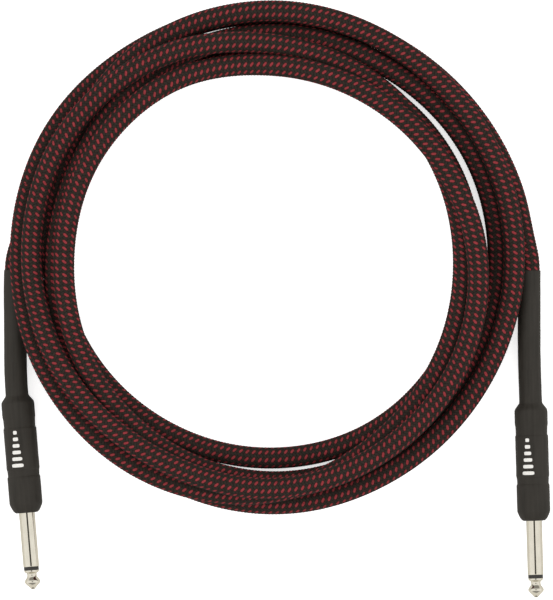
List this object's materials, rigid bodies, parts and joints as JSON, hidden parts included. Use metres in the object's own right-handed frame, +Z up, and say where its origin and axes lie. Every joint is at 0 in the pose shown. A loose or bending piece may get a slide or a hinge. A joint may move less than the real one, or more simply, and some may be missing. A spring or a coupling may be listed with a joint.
{
  "type": "instrument cable",
  "caption": "Coiled woven-jacket instrument cable, black with red tracers, with a straight mono phone plug and a shrink-covered grip at each end.",
  "frame": {"origin": "middle of the footprint on the surface the coil lies on", "axes": "+Z up; +Y from the plugs to the far side of the coil; +X to the right of it"},
  "size_m": [0.2209, 0.2401, 0.0342],
  "materials": {
    "woven_jacket": "woven, black with red tracers",
    "sleeve": "matt shrink tube",
    "pvc": "satin",
    "copper": "bright copper",
    "film": "matt carbon-loaded",
    "insulation": "satin",
    "nickel": "polished nickel",
    "insulator": "moulded",
    "fibre": "vulcanised fibre",
    "steel": "tinned",
    "solder": "satin"
  },
  "bodies": {
    "coil": {"woven_jacket": "woven_jacket", "pvc_jacket": "pvc", "copper_shield": "copper", "conductive_film": "film", "core_insulation": "insulation", "centre_conductor": "copper", "left_sleeve_tail": "sleeve", "right_sleeve_tail": "sleeve"},
    "left_relief": {"left_bend_shrink_sleeve": "sleeve", "left_bend_woven_jacket": "woven_jacket", "left_bend_pvc_jacket": "pvc", "left_bend_copper_shield": "copper", "left_bend_conductive_film": "film", "left_bend_core_insulation": "insulation", "left_bend_centre_conductor": "copper"},
    "left_plug": {"left_woven_jacket_end": "woven_jacket", "left_pvc_jacket_end": "pvc", "left_copper_shield_end": "copper", "left_conductive_film_end": "film", "left_core_insulation_end": "insulation", "left_centre_conductor_end": "copper", "left_grip_cover": "sleeve", "left_grip_shell": "steel", "left_grip_liner": "fibre", "left_plug_barrel": "nickel", "left_plug_ring": "insulator", "left_plug_tube": "insulator", "left_plug_tip": "nickel", "left_plug_washer": "fibre", "left_tip_lug": "steel", "left_ground_lug": "steel", "left_tip_solder": "solder", "left_ground_solder": "solder"},
    "right_relief": {"right_bend_shrink_sleeve": "sleeve", "right_bend_woven_jacket": "woven_jacket", "right_bend_pvc_jacket": "pvc", "right_bend_copper_shield": "copper", "right_bend_conductive_film": "film", "right_bend_core_insulation": "insulation", "right_bend_centre_conductor": "copper"},
    "right_plug": {"right_woven_jacket_end": "woven_jacket", "right_pvc_jacket_end": "pvc", "right_copper_shield_end": "copper", "right_conductive_film_end": "film", "right_core_insulation_end": "insulation", "right_centre_conductor_end": "copper", "right_grip_cover": "sleeve", "right_grip_shell": "steel", "right_grip_liner": "fibre", "right_plug_barrel": "nickel", "right_plug_ring": "insulator", "right_plug_tube": "insulator", "right_plug_tip": "nickel", "right_plug_washer": "fibre", "right_tip_lug": "steel", "right_ground_lug": "steel", "right_tip_solder": "solder", "right_ground_solder": "solder"}
  },
  "joints": [
    {"name": "left_swing", "type": "hinge", "parent": "coil", "child": "left_relief", "pos_m": [-0.10489, -0.01999, 0.00492], "axis": [0, 0, 1], "range_deg": [-30, 15], "deforming": ["left_bend_shrink_sleeve", "left_bend_woven_jacket", "left_bend_pvc_jacket", "left_bend_copper_shield", "left_bend_conductive_film", "left_bend_core_insulation", "left_bend_centre_conductor"]},
    {"name": "left_lift", "type": "hinge", "parent": "left_relief", "child": "left_plug", "pos_m": [-0.10462, -0.03194, 0.00633], "axis": [-0.9966, -0.0826, 0], "range_deg": [0, 35], "deforming": ["left_bend_shrink_sleeve", "left_bend_woven_jacket", "left_bend_pvc_jacket", "left_bend_copper_shield", "left_bend_conductive_film", "left_bend_core_insulation", "left_bend_centre_conductor"]},
    {"name": "right_swing", "type": "hinge", "parent": "coil", "child": "right_relief", "pos_m": [0.10195, -0.023, 0.00492], "axis": [0, 0, 1], "range_deg": [-15, 30], "deforming": ["right_bend_shrink_sleeve", "right_bend_woven_jacket", "right_bend_pvc_jacket", "right_bend_copper_shield", "right_bend_conductive_film", "right_bend_core_insulation", "right_bend_centre_conductor"]},
    {"name": "right_lift", "type": "hinge", "parent": "right_relief", "child": "right_plug", "pos_m": [0.10225, -0.03498, 0.00633], "axis": [-0.9996, -0.0286, 0], "range_deg": [0, 35], "deforming": ["right_bend_shrink_sleeve", "right_bend_woven_jacket", "right_bend_pvc_jacket", "right_bend_copper_shield", "right_bend_conductive_film", "right_bend_core_insulation", "right_bend_centre_conductor"]}
  ]
}
